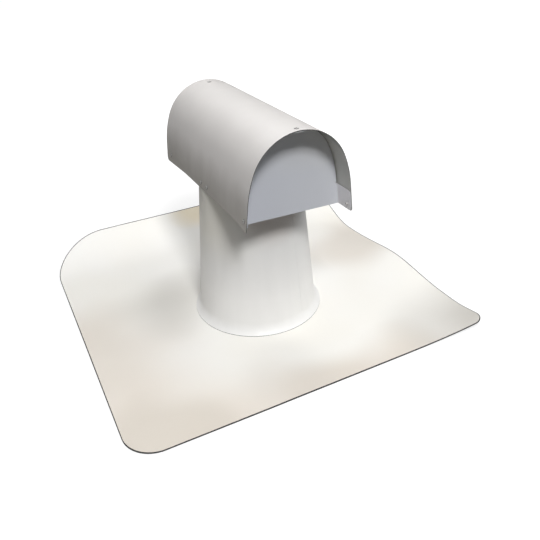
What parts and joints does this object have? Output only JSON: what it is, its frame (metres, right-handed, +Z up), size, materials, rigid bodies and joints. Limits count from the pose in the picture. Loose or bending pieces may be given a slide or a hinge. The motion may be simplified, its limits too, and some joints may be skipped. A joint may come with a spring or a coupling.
{
  "type": "t-top roof vent",
  "caption": "Tapered round vent stack on a thin rounded flashing sheet, capped by a half-round barrel hood with recessed end baffles.",
  "frame": {"origin": "centre of the duct hole, on the underside of the flashing sheet", "axes": "+Z up along the stack, Y along the hood's barrel, -Y towards the end that the picture shows"},
  "size_m": [0.5925, 0.608, 0.3543],
  "materials": {
    "membrane": "matt single-ply roofing membrane",
    "coated_sheet": "smooth white plastic coating",
    "hood_paint": "satin white prepainted steel",
    "rivet_paint": "white painted aluminium"
  },
  "bodies": {
    "root": {"flashing_skirt": "membrane", "stack": "coated_sheet", "hood": "hood_paint", "front_baffle": "hood_paint", "rear_baffle": "hood_paint", "front_baffle_rivets": "rivet_paint", "rear_baffle_rivets": "rivet_paint", "stack_rivets": "rivet_paint"}
  },
  "joints": []
}
